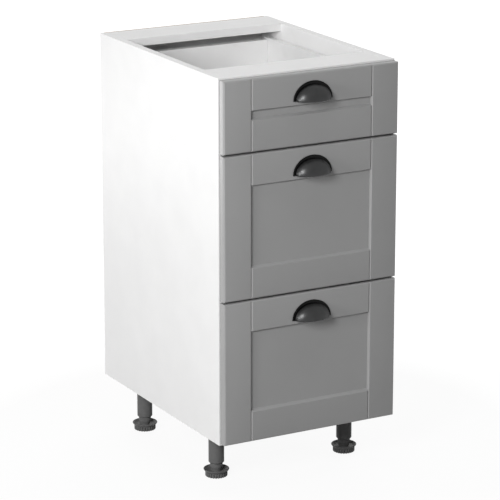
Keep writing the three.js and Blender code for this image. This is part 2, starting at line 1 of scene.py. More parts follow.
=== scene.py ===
"""Looks of a kitchen base cabinet with three drawers: finishes, fine shapes, fasteners and light.

X is to the right as seen from the front, the fronts face -Y and Z is up. Lengths are written in
millimetres, and times MM they are metres. Texture scales are in cycles per metre.
"""

import json
import math
import random

import bmesh
import bpy
from mathutils import Matrix, Vector

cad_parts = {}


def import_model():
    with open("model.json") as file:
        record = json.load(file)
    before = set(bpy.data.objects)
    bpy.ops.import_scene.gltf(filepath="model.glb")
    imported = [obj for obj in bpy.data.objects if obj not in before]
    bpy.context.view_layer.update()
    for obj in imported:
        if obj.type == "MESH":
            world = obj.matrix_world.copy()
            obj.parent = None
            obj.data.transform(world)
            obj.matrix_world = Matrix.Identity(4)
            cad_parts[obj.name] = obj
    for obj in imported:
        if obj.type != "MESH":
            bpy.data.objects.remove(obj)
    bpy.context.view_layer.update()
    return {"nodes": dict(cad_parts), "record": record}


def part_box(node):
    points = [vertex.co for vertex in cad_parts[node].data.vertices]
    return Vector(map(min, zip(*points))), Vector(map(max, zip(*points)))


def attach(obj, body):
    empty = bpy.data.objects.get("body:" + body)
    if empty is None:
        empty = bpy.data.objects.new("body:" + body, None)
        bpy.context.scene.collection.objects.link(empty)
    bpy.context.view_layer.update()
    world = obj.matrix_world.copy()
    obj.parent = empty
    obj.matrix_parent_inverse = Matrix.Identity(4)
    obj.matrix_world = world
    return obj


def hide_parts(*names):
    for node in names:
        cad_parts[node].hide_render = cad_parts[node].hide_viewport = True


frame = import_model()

MM = 0.001
DRAWERS = ("bottom", "middle", "top")
SIDES = {"left": -1, "right": 1}
LEGS = ("front_left", "front_right", "rear_left", "rear_right")

BOARD_EDGE = 0.45  # rounding of a banded board's edges
LACQUER_EDGE = 0.6
SHEET_EDGE = 0.4
SHEET = 1.2  # thickness of the steel of drawer sides and runners
SEAT_GAP = 0.3  # between pieces that are fastened together
FLAT_ANGLE = math.radians(0.5)
BEVEL_ANGLE = math.radians(28)
SMOOTH_ANGLE = math.radians(34)
ON_AXIS = 1e-6
MERGE, CAD_MERGE = 1e-7, 1e-6  # metres

HANDLE_WALL = 2.0
HANDLE_RIM = 4.0  # at the cup's ends
HANDLE_RIM_TOP = 6.5
HANDLE_RIM_THICKNESS = 2.0
HANDLE_RIM_ROUNDING = 0.9
HANDLE_SCREW_SPACING = 64
HANDLE_SCREW_HEIGHT = 7
HANDLE_SCREW_HEAD = 2.4
HANDLE_SCREW_SHANK = 2
HANDLE_BOSS_RADIUS = 4
DOME_END, PAINTED_SHADE_START = 0.82, 0.9  # the colour turns from the dome's own tone to the near-black painted shade of the rim between these shares of a cup's depth

STEM_RADIUS = 12.4
STEM_TAPER = 2.6  # how much thinner the stem is at the dish's floor
STEM_TAPER_HEIGHT = 8
STEM_CHAMFER = 1
STEM_CLEARANCE = 0.4  # inside the tube
SKIRT_RADIUS = 22
SKIRT_HEIGHT = 9.5
SKIRT_CORNER = ((1, 0), (0.4, 0.2), (0, 0.8))  # inwards and up from the skirt's bottom corner
SKIRT_RINGS = (0.8, 0.41, 0.2)  # below the skirt's top; the ribs end between the last two
RIM_HEIGHT = 15
RIM_CORNER = ((0.8, 2.6), (0, 1), (0.4, 0), (1.8, 0))  # inwards and down from the rim's top corner
FLARE_START = 0.3  # above the skirt
DISH_FLOOR = 11
DISH_RADIUS = 19
FOOT_ROUNDING = 1.2
RIBS = 24
RIB_STEPS = 14
RIB_DEPTH = 2.4
RIB_END = 0.4  # below the skirt's top
GROOVE_FLOOR = 0.13  # half the width of a groove's floor, as a share of the ribs' spacing
GROOVE_FLANK = 0.19  # width of a groove's sloping flank, as such a share
TUBE_CLEAR_OF_FLOOR = 27.5
TUBE_CHAMFER = 1.8
TUBE_ROOF = 6  # closed top of the tube, over its bore
TUBE_ROUNDING = 0.5
SOCKET_PLATE = 4
SOCKET_COLLAR = 3
SOCKET_ROUNDING = 0.8
ROUND_STEPS = 96

ROLLER_BORE = 3.3
ROLLER_HUB = 1.8  # width of the ring round the bore that is sunk into both faces
ROLLER_HUB_DEPTH = 0.5
ROLLER_HUB_SLOPE = 0.4
ROLLER_ROUNDING = 0.6
ROLLER_STEPS = 64

SCREW_STEPS = 40
SCREW_DOME_STEPS = 9
SCREW_HEAD_RIM = 0.25  # upright share of a screw head's height
CROSS_WIDTH, CROSS_REACH, CROSS_FLOOR = 0.12, 0.52, 0.3  # shares of a head's radius and height
PAN_HEAD_RADIUS = 3.6
PAN_HEAD_HEIGHT = 1.7
PAN_SHANK_RADIUS = 1.6
PAN_SHANK = 8
RUNNER_SCREW_PLACES = (37, 197, 389)  # behind the carcass's front edges
PLATE_SCREWS = 4
PLATE_SCREW_CIRCLE = 24
BOX_SCREW_SHARES = (0.28, 0.72)  # along the height that the screws can use
TAB_SCREW_INSET = 8
TAB_SCREWS_ABOVE_BASE = 14  # from the middle of the drawer's base
TAB_SCREWS_BELOW_TOP = 15
CLEAR_OF_RUNNER = 24  # from the middle of the runner

CAM_RADIUS = 7.5
CAM_DEPTH = 3
CAM_PROUD = 0.25
CAM_ROUNDING = 0.4
CAM_STEPS = 48
CAM_CROSS = (0.8, 4.4, -1.4, 2)  # half width, reach, floor and top of the driver's recess
CAM_FROM_END = 34
CAM_SHARES = {"bottom_panel": (0.12, 0.88), "front_top_rail": (0.5,), "rear_top_rail": (0.5,)}

STAPLE_SPACING = 96
STAPLE_LENGTH = 11
STAPLE_WIRE = 0.55
STAPLE_PROUD = 0.03  # driven almost flush
STAPLE_ROW_INSET = 20
STAPLE_TILT = 6  # degrees
STAPLE_SLIP_ALONG, STAPLE_SLIP_ACROSS = 3, 0.6
STAPLE_SEED = 7

CAMERA_PLACE = (-2461.3, -4453.8, 1850.1)
CAMERA_TURN = math.radians(28.942)  # from +Y towards +X
CAMERA_DIP = math.radians(15.817)
CAMERA_LENS = 190.8  # mm, on a 36 mm sensor
SENSOR_WIDTH = 36
CAMERA_CLIP_END = 100  # metres

AMBIENT = 0.09
FLOOR_SIZE = 30000
FLOOR_DROP = 0.4
FLOOR_TONE = 0.3
FLOOR_SHADE = 0.2  # how much of the lit floor shows in the white background, close to the cabinet
FLOOR_SHADE_REACH = 1100
FLOOR_GLOW = 1.16

LAMPS = (  # name, place, target, width, height, watts, whether glossy faces show it
    ("key", (-2640, -2170, 1960), (0, -260, 400), 960, 1120, 82, True),
    ("left", (-2580, -911, 950), (0, -260, 480), 460, 460, 19, True),
    ("left_rear", (-1300, 1950, 220), (-190, -200, 450), 800, 400, 8, True),
    ("overhead", (0, -300, 3300), (0, 0, 700), 1800, 1800, 19, False),
    ("rear_fill", (2200, 2620, 1900), (0, 0, 450), 2200, 2200, 85, False),
)


# ---- Materials

MIX_FACTOR, MIX_FIRST, MIX_SECOND = 0, 6, 7  # sockets of a Mix node set to colours
MIX_COLOUR = 2
NOISE_LOW, NOISE_HIGH = 0.3, 0.7  # noise values rarely leave this range


class Nodes:
    """A node tree with a short way to add nodes to it."""

    def __init__(self, tree):
        self.tree = tree

    def add(self, kind, inputs=None, **settings):
        """A new node. An input is linked where its value is a socket, and otherwise set."""
        node = self.tree.nodes.new(kind)
        for key, value in settings.items():
            setattr(node, key, value)
        for key, value in (inputs or {}).items():
            if isinstance(value, bpy.types.NodeSocket):
                self.tree.links.new(value, node.inputs[key])
            else:
                node.inputs[key].default_value = value
        return node


class Finish(Nodes):
    """A material's node tree round its Principled shader."""

    def __init__(self, name, **sockets):
        self.material = bpy.data.materials.new(name)
        self.material.use_nodes = True
        super().__init__(self.material.node_tree)
        self.shader = self.tree.nodes["Principled BSDF"]
        for socket, value in sockets.items():
            self.shader.inputs[socket.replace("_", " ")].default_value = value
        self.coordinates = self.add("ShaderNodeTexCoord").outputs
        self.place = self.coordinates["Object"]

    def link(self, source, socket):
        self.tree.links.new(source, self.shader.inputs[socket])

    def stretched(self, x, y, z):
        scaled = self.add("ShaderNodeMapping", {"Vector": self.place, "Scale": (x, y, z)})
        return scaled.outputs["Vector"]

    def noise(self, scale, detail, place=None):
        inputs = {"Vector": place or self.place, "Scale": scale, "Detail": detail}
        return self.add("ShaderNodeTexNoise", inputs).outputs["Fac"]

    def between(self, value, low, high):
        """Spreads a noise value over low..high."""
        inputs = {"Value": value, "From Min": NOISE_LOW, "From Max": NOISE_HIGH,
                  "To Min": low, "To Max": high}
        return self.add("ShaderNodeMapRange", inputs).outputs["Result"]

    def blend(self, factor, first, second):
        """A colour from first, where the factor is 0, to second, where it is 1."""
        inputs = {MIX_FACTOR: factor, MIX_FIRST: first, MIX_SECOND: second}
        return self.add("ShaderNodeMix", inputs, data_type="RGBA").outputs[MIX_COLOUR]

    def mottle(self, scale, detail, first, second):
        """A colour that drifts between two."""
        return self.blend(self.between(self.noise(scale, detail), 0, 1), first, second)

    def sheen(self, scale, detail, low, high):
        """A roughness that varies between two values."""
        return self.between(self.noise(scale, detail), low, high)

    def facing(self, axis, least=0.9):
        """1 where the surface faces along the signed axis, such as (0, 1, 0)."""
        inputs = {0: self.coordinates["Normal"], 1: axis}
        dot = self.add("ShaderNodeVectorMath", inputs, operation="DOT_PRODUCT").outputs["Value"]
        return self.add("ShaderNodeMath", {0: dot, 1: least}, operation="GREATER_THAN").outputs[0]

    def bump(self, height, depth):
        """Adds relief `depth` millimetres deep to what relief there is."""
        node = self.add("ShaderNodeBump", {"Height": height, "Distance": depth * MM, "Strength": 1})
        previous = self.shader.inputs["Normal"]
        if previous.is_linked:
            self.tree.links.new(previous.links[0].from_socket, node.inputs["Normal"])
        self.link(node.outputs["Normal"], "Normal")


def grey(value, warmth=0.0):
    return (value * (1 + warmth), value, value * (1 - warmth), 1)


def chipboard(finish):
    """Colour of a raw chipboard edge: pale and dark flakes in every direction."""
    inputs = {"Vector": finish.stretched(0.5, 1, 1), "Scale": 900}
    flakes = finish.add("ShaderNodeTexVoronoi", inputs).outputs["Color"]
    tone = finish.add("ShaderNodeSeparateColor", {"Color": flakes}).outputs["Red"]
    return finish.blend(tone, (0.30, 0.19, 0.10, 1), (0.62, 0.46, 0.29, 1))


def melamine(name, raw_edges=False):
    """White melamine with a faint pearl grain. Raw edges show chipboard at the rear and below."""
    finish = Finish(name, Roughness=0.42, Specular_IOR_Level=0.3)
    colour = finish.mottle(14, 3, grey(0.845, 0.002), grey(0.875, 0.002))
    rough = finish.sheen(700, 2, 0.36, 0.5)
    if raw_edges:
        faces = {0: finish.facing((0, 1, 0)), 1: finish.facing((0, 0, -1))}
        raw = finish.add("ShaderNodeMath", faces, operation="MAXIMUM").outputs[0]
        colour = finish.blend(raw, colour, chipboard(finish))
        rough = finish.add("ShaderNodeMath", {0: rough, 1: raw}, operation="MAXIMUM").outputs[0]
    finish.link(colour, "Base Color")
    finish.link(rough, "Roughness")
    finish.bump(finish.noise(1900, 3), 0.035)
    return finish.material


def hardboard():
    """Thin hardboard: white lacquer on its inner face, brown pressed fibres on its outer face."""
    finish = Finish("hardboard", Roughness=0.55)
    fibres = finish.noise(260, 6, finish.stretched(1, 1, 0.45))
    fibre_tone = finish.between(fibres, 0, 1)
    brown = finish.blend(fibre_tone, (0.235, 0.125, 0.062, 1), (0.40, 0.245, 0.135, 1))
    white = finish.mottle(20, 3, grey(0.82), grey(0.86))
    finish.link(finish.blend(finish.facing((0, -1, 0)), brown, white), "Base Color")
    finish.link(finish.sheen(420, 4, 0.48, 0.7), "Roughness")
    finish.bump(fibres, 0.12)
    return finish.material


def grey_lacquer():
    """Satin lacquer: slow drift of tone, the faint waviness of a sprayed coat, and fine texture."""
    finish = Finish("grey_lacquer", Roughness=0.36, Specular_IOR_Level=0.5)
    finish.link(finish.mottle(9, 3, grey(0.338), grey(0.35)), "Base Color")
    finish.link(finish.sheen(260, 3, 0.29, 0.37), "Roughness")
    finish.bump(finish.noise(420, 2), 0.03)
    finish.bump(finish.noise(2600, 2), 0.012)
    return finish.material


def gunmetal():
    """Dark satin plating over a cast cup, with painted shade: the rim is near black, standing in
    for shade and dark reflections there, and the dome keeps the plating's own tone.
    """
    finish = Finish("gunmetal", Metallic=0.9, Roughness=0.34)
    dome = finish.mottle(60, 4, grey(0.04, -0.01), grey(0.048, -0.01))
    # Painted shade and painted dark reflection: towards the back of the cup's depth, where the rim
    # is, the colour turns near black.
    inputs = {"Vector": finish.coordinates["Generated"]}
    depth = finish.add("ShaderNodeSeparateXYZ", inputs).outputs["Y"]
    inputs = {"Value": depth, "From Min": DOME_END, "From Max": PAINTED_SHADE_START}
    rim = finish.add("ShaderNodeMapRange", inputs).outputs["Result"]
    # The dome's own tone in front, near-black painted shade on the rim.
    finish.link(finish.blend(rim, dome, grey(0.006, -0.01)), "Base Color")
    finish.link(finish.sheen(480, 4, 0.31, 0.36), "Roughness")
    finish.bump(finish.noise(1500, 3), 0.005)
    return finish.material


def black_plastic():
    """Moulded plastic: spark-eroded grain with a soft sheen."""
    finish = Finish("black_plastic", Roughness=0.38, Specular_IOR_Level=0.06)
    finish.link(finish.mottle(90, 4, grey(0.13), grey(0.15)), "Base Color")
    finish.link(finish.sheen(650, 3, 0.34, 0.43), "Roughness")
    finish.bump(finish.noise(2300, 2), 0.03)
    return finish.material


def white_steel():
    """Powder-coated sheet steel: orange-peel relief under a soft gloss."""
    finish = Finish("white_steel", Roughness=0.36)
    finish.link(finish.mottle(18, 3, grey(0.80), grey(0.84)), "Base Color")
    finish.link(finish.sheen(500, 2, 0.3, 0.44), "Roughness")
    finish.bump(finish.noise(900, 2), 0.045)
    return finish.material


def nylon():
    """Off-white plastic that lets a little light in."""
    finish = Finish("nylon", Roughness=0.45, Subsurface_Weight=0.15, Subsurface_Scale=0.002)
    finish.link(finish.mottle(120, 3, grey(0.66, 0.03), grey(0.74, 0.03)), "Base Color")
    finish.link(finish.sheen(800, 2, 0.38, 0.52), "Roughness")
    return finish.material


def zinc_steel():
    """Bright zinc plating with the cloudy spangle of small plated parts."""
    finish = Finish("zinc_steel", Metallic=1.0, Roughness=0.3)
    colour = finish.mottle(350, 5, (0.42, 0.43, 0.45, 1), (0.60, 0.61, 0.62, 1))
    finish.link(colour, "Base Color")
    finish.link(finish.sheen(900, 4, 0.22, 0.42), "Roughness")
    finish.bump(finish.noise(2600, 2), 0.01)
    return finish.material


MATERIALS = {
    "white_board": melamine("white_board"),
    "hardboard": hardboard(),
    "grey_lacquer": grey_lacquer(),
    "gunmetal": gunmetal(),
    "black_plastic": black_plastic(),
    "white_steel": white_steel(),
    "nylon": nylon(),
    "zinc_steel": zinc_steel(),
}
RAW_EDGED = melamine("raw_edged_board", raw_edges=True)
NODE_SLOTS = {row["node"]: row["material_slot"] for row in frame["record"]["subparts"]}


# ---- Mesh helpers

FACE_REAR = Matrix.Rotation(-math.pi / 2, 4, "X")  # turns +Z to +Y
FACE_DOWN = Matrix.Rotation(math.pi, 4, "X")


def face_side(hand):
    """Turns +Z to +X or -X."""
    return Matrix.Rotation(hand * math.pi / 2, 4, "Y")


def at(x, y, z, turn=None):
    """A place in millimetres as a matrix in metres, after an optional turn."""
    move = Matrix.Translation(Vector((x, y, z)) * MM)
    return move @ turn if turn else move


def corners(node):
    """Lowest and highest corner of a CAD node, in millimetres."""
    return [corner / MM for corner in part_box(node)]


def extent(node):
    """Centre and size of a CAD node, in millimetres."""
    low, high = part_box(node)
    return (low + high) / 2 / MM, (high - low) / MM


def make_mesh(name, points, faces):
    mesh = bpy.data.meshes.new(name)
    mesh.from_pydata([Vector(point) * MM for point in points], [], faces)
    return mesh


def smooth(mesh):
    mesh.shade_smooth()
    mesh.set_sharp_from_angle(angle=SMOOTH_ANGLE)
    return mesh


def add_piece(name, mesh, body, slot, replaced=(), material=None):
    """A visible piece that rides on a body and may take the place of CAD nodes."""
    piece = bpy.data.objects.new(name, mesh)
    bpy.context.scene.collection.objects.link(piece)
    mesh.materials.clear()
    mesh.materials.append(material or MATERIALS[slot])
    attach(piece, body)
    if replaced:
        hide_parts(*replaced)
    return piece


def bevel(piece, width):
    modifier = piece.modifiers.new("edges", "BEVEL")
    modifier.width = width * MM
    modifier.segments = 3
    modifier.limit_method = "ANGLE"
    modifier.angle_limit = BEVEL_ANGLE
    modifier.use_clamp_overlap = True
    modifier.harden_normals = True
    modifier.miter_outer = "MITER_ARC"


def soften(points, radius, closed=False):
    """Rounds the corners of an outline with short curves."""
    steps = 4
    reach_share = 0.45  # of the shorter side next to a corner
    outline = [Vector(point) for point in points]
    result = []
    for i, corner in enumerate(outline):
        if not closed and i in (0, len(outline) - 1):
            result.append(corner)
            continue
        before = outline[i - 1] - corner
        after = outline[(i + 1) % len(outline)] - corner
        reach = min(radius, reach_share * before.length, reach_share * after.length)
        start = corner + before.normalized() * reach
        end = corner + after.normalized() * reach
        for step in range(steps + 1):
            t = step / steps
            result.append((1 - t) ** 2 * start + 2 * t * (1 - t) * corner + t ** 2 * end)
    return result


def lathe(name, profile, segments, closed=False, wave=None):
    """Turns a profile of (radius, height) about Z. wave(angle, radius, height) gives the radius."""
    points, rings, faces = [], [], []
    for radius, height in profile:
        if radius < ON_AXIS:
            rings.append([len(points)] * segments)
            points.append((0, 0, height))
            continue
        rings.append(list(range(len(points), len(points) + segments)))
        for i in range(segments):
            angle = 2 * math.pi * i / segments
            r = wave(angle, radius, height) if wave else radius
            points.append((r * math.cos(angle), r * math.sin(angle), height))
    pairs = list(zip(rings, rings[1:]))
    if closed:
        pairs.append((rings[-1], rings[0]))
    for lower, upper in pairs:
        for i in range(segments):
            j = (i + 1) % segments
            face = list(dict.fromkeys((lower[i], lower[j], upper[j], upper[i])))
            if len(face) > 2:
                faces.append(face)
    return smooth(make_mesh(name, points, faces))


def prism(name, outline, low, high):
    """A flat outline of (x, y) raised from z = low to high."""
    count = len(outline)
    points = [(x, y, z) for z in (low, high) for x, y in outline]
    faces = [(i, (i + 1) % count, count + (i + 1) % count, count + i) for i in range(count)]
    faces += [list(reversed(range(count))), list(range(count, 2 * count))]
    return make_mesh(name, points, faces)


def placed(name, parts):
    """One mesh from copies of others: parts is a list of (mesh, matrix in metres)."""
    joined = bmesh.new()
    for mesh, matrix in parts:
        copy = mesh.copy()
        copy.transform(matrix)
        joined.from_mesh(copy)
        bpy.data.meshes.remove(copy)
    mesh = bpy.data.meshes.new(name)
    joined.to_mesh(mesh)
    joined.free()
    return mesh


def solid(name, points, faces):
    """A mesh with doubled points merged, empty faces gone and its faces turned outwards."""
    work = bmesh.new()
    vertices = [work.verts.new(Vector(point) * MM) for point in points]
    for face in faces:
        work.faces.new([vertices[i] for i in dict.fromkeys(face)])
    bmesh.ops.remove_doubles(work, verts=work.verts, dist=MERGE)
    bmesh.ops.dissolve_degenerate(work, edges=work.edges, dist=MERGE)
    bmesh.ops.recalc_face_normals(work, faces=work.faces)
    mesh = bpy.data.meshes.new(name)
    work.to_mesh(mesh)
    work.free()
    return mesh


def boolean(mesh, tool, operation):
    """The mesh cut by or joined with a tool mesh."""
    scene = bpy.context.scene.collection
    base, other = (bpy.data.objects.new("work", item) for item in (mesh, tool))
    for item in (base, other):
        scene.objects.link(item)
    modifier = base.modifiers.new("work", "BOOLEAN")
    modifier.object = other
    modifier.operation = operation
    modifier.solver = "EXACT"
    depsgraph = bpy.context.evaluated_depsgraph_get()
    result = bpy.data.meshes.new_from_object(base.evaluated_get(depsgraph))
    for item in (base, other):
        bpy.data.objects.remove(item)
    return result


# ---- Boards, fronts and sheet metal

def clean_copy(node):
    """The node's shape with its triangles merged into whole faces."""
    work = bmesh.new()
    work.from_mesh(frame["nodes"][node].data)
    bmesh.ops.remove_doubles(work, verts=work.verts, dist=CAD_MERGE)
    bmesh.ops.dissolve_limit(work, angle_limit=FLAT_ANGLE, verts=work.verts, edges=work.edges)
    work.verts.index_update()
    points = [vertex.co / MM for vertex in work.verts]
    faces = [[vertex.index for vertex in face.verts] for face in work.faces]
    work.free()
    return smooth(make_mesh(node, points, faces))


def dress(node, body, edge, material=None):
    """Puts a copy with rounded edges in the place of a CAD node."""
    piece = add_piece(f"{node}_visual", clean_copy(node), body, NODE_SLOTS[node], [node], material)
    bevel(piece, edge)


def boards():
    for side in SIDES:
        dress(f"side_panel_{side}", "carcass", BOARD_EDGE, RAW_EDGED)
    for node in ("bottom_panel", "front_top_rail", "rear_top_rail", "back_panel"):
        dress(node, "carcass", BOARD_EDGE)
    for name in DRAWERS:
        for part in ("base", "back"):
            dress(f"{name}_drawer_{part}", f"{name}_drawer", BOARD_EDGE)


def fronts():
    for name in DRAWERS:
        dress(f"{name}_drawer_front", f"{name}_drawer", LACQUER_EDGE)


def sheet_metal():
    for name in DRAWERS:
        for side in SIDES:
            dress(f"{name}_drawer_side_{side}", f"{name}_drawer", SHEET_EDGE)
            dress(f"{name}_runner_{side}", "carcass", SHEET_EDGE)


# ---- Cup handles

def cup_shell(half_width, height, depth):
    """Quarter ellipsoid shell with a rounded lip, open below and behind. Its back is at y = 0."""
    levels, around, lip_steps = 22, 56, 6
    lip = HANDLE_WALL / 2

    def wall(inset):
        """Rings of the outer face, from its top down, or of the inner face."""
        top = height - inset
        lifts = (math.cos(math.pi / 2 * i / levels) for i in range(levels + 1))
        heights = (lip + (top - lip) * lift for lift in lifts)
        return [(half_width - inset, depth - inset, z, top) for z in heights]

    rings = wall(0)
    for i in range(1, lip_steps):
        turn = math.pi * i / lip_steps
        inset = lip * (1 - math.cos(turn))
        rings.append((half_width - inset, depth - inset, lip * (1 - math.sin(turn)), None))
    rings += reversed(wall(HANDLE_WALL))

    points, faces = [], []
    for a, d, z, top in rings:
        spread = math.sqrt(max(0.0, 1 - (z / top) ** 2)) if top else 1.0
        for k in range(around + 1):
            angle = math.pi * k / around
            points.append((a * spread * math.cos(angle), -d * spread * math.sin(angle), z))
    row = around + 1
    for i in range(len(rings) - 1):
        for k in range(around):
            first, second = i * row + k, (i + 1) * row + k
            faces.append((first, first + 1, second + 1, second))
    right = [i * row for i in range(len(rings))]
    left = [i * row + around for i in reversed(range(len(rings)))]
    faces.append(right + left)
    return solid("cup", points, faces)


def arch_rim(half_width, height):
    """Flat rim round the arch, widest over the top, with its outer corner rounded."""
    steps = 72
    ends, top = (width + HANDLE_WALL / 2 for width in (HANDLE_RIM, HANDLE_RIM_TOP))
    front = -HANDLE_RIM_THICKNESS
    outline = [(0, 0), (0, front), (ends, front), (ends, 0)]
    section = soften(outline, HANDLE_RIM_ROUNDING, closed=True)
    points, faces = [], []
    for i in range(steps + 1):
        angle = math.pi * i / steps
        for inset, y in section:
            x = (half_width - inset) * math.cos(angle)
            points.append((x, y, (height - inset * top / ends) * math.sin(angle)))
    count = len(section)
    for i in range(steps):
        for k in range(count):
            first, second, after = i * count, (i + 1) * count, (k + 1) % count
            faces.append((first + k, first + after, second + after, second + k))
    faces.append(list(range(count)))
    faces.append(list(range(steps * count, (steps + 1) * count)))
    return solid("rim", points, faces)


def screw_boss(cup_size, x):
    """Post behind the cup that takes a screw. Its front end follows the inside of the wall."""
    steps = 32
    reach = [size - HANDLE_WALL / 2 for size in cup_size]
    points = []
    for front in (False, True):
        for k in range(steps):
            angle = 2 * math.pi * k / steps
            px = x + HANDLE_BOSS_RADIUS * math.cos(angle)
            pz = HANDLE_SCREW_HEIGHT + HANDLE_BOSS_RADIUS * math.sin(angle)
            bulge = math.sqrt(max(0.0, 1 - (px / reach[0]) ** 2 - (pz / reach[1]) ** 2))
            points.append((px, -reach[2] * bulge if front else 0, pz))
    faces = [(k, (k + 1) % steps, steps + (k + 1) % steps, steps + k) for k in range(steps)]
    faces += [list(range(steps)), list(range(steps, 2 * steps))]
    return solid("boss", points, faces)


def cup_handle_mesh(width, depth, height):
    half_width = width / 2
    cup_size = (half_width - HANDLE_RIM, height - HANDLE_RIM_TOP, depth)
    shape = boolean(cup_shell(*cup_size), arch_rim(half_width, height), "UNION")
    for hand in SIDES.values():
        shape = boolean(shape, screw_boss(cup_size, hand * HANDLE_SCREW_SPACING / 2), "UNION")
    return smooth(shape)


def handles():
    mesh = cup_handle_mesh(*extent("top_drawer_handle")[1])
    for name in DRAWERS:
        node = f"{name}_drawer_handle"
        centre, size = extent(node)
        back = at(centre.x, centre.y + size.y / 2, centre.z - size.z / 2)
        shape = placed(f"{node}_visual", [(mesh, back)])
        add_piece(f"{node}_visual", shape, f"{name}_drawer", "gunmetal", [node])


# ---- Legs

def rib_wave(angle, radius, height):
    """Radius of the foot's skirt: square ribs with sloping flanks, ending below the flare."""
    core = SKIRT_RADIUS - RIB_DEPTH
    if radius < core or height > SKIRT_HEIGHT - RIB_END:
        return radius
    phase = angle * RIBS / (2 * math.pi) % 1
    wall = min(1.0, max(0.0, (abs(phase - 0.5) - GROOVE_FLOOR) / GROOVE_FLANK))
    return core + (radius - core) * wall


def foot_mesh(stem_top, rim_radius):
    """Foot with a ribbed skirt, a flared rim round a dish, and a stem that thickens upwards."""
    skirt = [(0, 0)] + [(SKIRT_RADIUS - inwards, up) for inwards, up in SKIRT_CORNER]
    skirt += [(SKIRT_RADIUS, SKIRT_HEIGHT - below) for below in SKIRT_RINGS]
    flare = [(SKIRT_RADIUS, SKIRT_HEIGHT + FLARE_START)]
    flare += [(rim_radius - inwards, RIM_HEIGHT - down) for inwards, down in RIM_CORNER]
    flare += [(DISH_RADIUS, DISH_FLOOR), (STEM_RADIUS - STEM_TAPER, DISH_FLOOR),
              (STEM_RADIUS, DISH_FLOOR + STEM_TAPER_HEIGHT), (STEM_RADIUS, stem_top - STEM_CHAMFER),
              (STEM_RADIUS - STEM_CHAMFER, stem_top), (0, stem_top)]
    profile = skirt + soften(flare, FOOT_ROUNDING)
    return lathe("foot", profile, RIBS * RIB_STEPS, wave=rib_wave)


def tube_mesh(radius, top):
    """Tube with a bore for the stem, closed at its top."""
    bore, bottom, roof = STEM_RADIUS + STEM_CLEARANCE, TUBE_CLEAR_OF_FLOOR, top - TUBE_ROOF
    outline = [(0, roof), (bore, roof), (bore, bottom), (radius - TUBE_CHAMFER, bottom),
               (radius, bottom + TUBE_CHAMFER), (radius, top), (0, top)]
    return lathe("tube", soften(outline, TUBE_ROUNDING), ROUND_STEPS)


def socket_mesh(radius, tube_radius, top, bottom):
    """Round plate with a collar that holds the tube's upper end."""
    seat = tube_radius + SEAT_GAP
    collar = seat + SOCKET_COLLAR
    plate = top - SOCKET_PLATE
    outline = [(0, plate), (seat, plate), (seat, bottom), (collar, bottom), (collar, plate),
               (radius, plate), (radius, top), (0, top)]
    return lathe("socket", soften(outline, SOCKET_ROUNDING), ROUND_STEPS)


def legs():
    for place in LEGS:
        foot, tube, socket = (f"leg_{part}_{place}" for part in ("foot", "tube", "socket"))
        centre, foot_size = extent(foot)
        tube_radius = extent(tube)[1].x / 2
        socket_radius = extent(socket)[1].x / 2
        tube_top = corners(tube)[1].z
        socket_low, socket_high = corners(socket)
        plate = socket_mesh(socket_radius, tube_radius, socket_high.z, socket_low.z)
        meshes = (
            (foot, foot_mesh(foot_size.z, foot_size.x / 2), foot),
            (tube, tube_mesh(tube_radius, tube_top), "carcass"),
            (socket, plate, "carcass"),
        )
        for node, mesh, body in meshes:
            mesh.transform(at(centre.x, centre.y, 0))
            add_piece(f"{node}_visual", mesh, body, "black_plastic", [node])


# ---- Rollers

def roller_mesh(name, half, radius):
    """Roller about Z with a bore and a hub that is sunk into both faces."""
    hub = ROLLER_BORE + ROLLER_HUB
    face, sunk = hub + ROLLER_HUB_SLOPE, half - ROLLER_HUB_DEPTH
    outline = [(ROLLER_BORE, -sunk), (hub, -sunk), (face, -half), (radius, -half),
               (radius, half), (face, half), (hub, sunk), (ROLLER_BORE, sunk)]
    return lathe(name, soften(outline, ROLLER_ROUNDING, closed=True), ROLLER_STEPS, closed=True)


def rollers():
    for name in DRAWERS:
        for kind in ("runner_roller", "drawer_roller"):
            for side in SIDES:
                node = f"{name}_{kind}_{side}"
                centre, size = extent(node)
                mesh = roller_mesh(node, size.x / 2, size.z / 2)
                mesh.transform(at(*centre, face_side(1)))
                add_piece(f"{node}_visual", mesh, node, "nylon", [node])


# ---- Fasteners

def cross_tool(width, reach, low, high):
    """A cross-shaped post that cuts a driver's recess."""
    outline = [(width, width), (width, reach), (-width, reach), (-width, width), (-reach, width),
               (-reach, -width), (-width, -width), (-width, -reach), (width, -reach),
               (width, -width), (reach, -width), (reach, width)]
    return prism("cross", outline, low, high)


def pan_head(radius, height, shank_radius, shank):
    """Screw with a domed head above z = 0, a cross recess in it, and its shank below."""
    dome = []
    for step in range(SCREW_DOME_STEPS):
        lift = math.pi / 2 * step / SCREW_DOME_STEPS
        level = SCREW_HEAD_RIM + (1 - SCREW_HEAD_RIM) * math.sin(lift)
        dome.append((radius * math.cos(lift), height * level))
    profile = [(0, -shank), (shank_radius, -shank), (shank_radius, 0), (radius, 0)]
    screw = lathe("screw", profile + dome + [(0, height)], SCREW_STEPS)
    width, reach = CROSS_WIDTH * radius, CROSS_REACH * radius
    recess = cross_tool(width, reach, height * CROSS_FLOOR, height * 2)
    return smooth(boolean(screw, recess, "DIFFERENCE"))


def runner_screws(screw):
    """Screws through each runner's web into the side panel."""
    carcass_front = corners("side_panel_left")[0].y
    screws = []
    for name in DRAWERS:
        for side, hand in SIDES.items():
            centre, size = extent(f"{name}_runner_{side}")
            web = centre.x + hand * (size.x / 2 - SHEET)
            for place in RUNNER_SCREW_PLACES:
                spot = at(web, carcass_front + place, centre.z, face_side(-hand))
                screws.append((screw, spot))
    add_piece("runner_screws", placed("runner_screws", screws), "carcass", "zinc_steel")


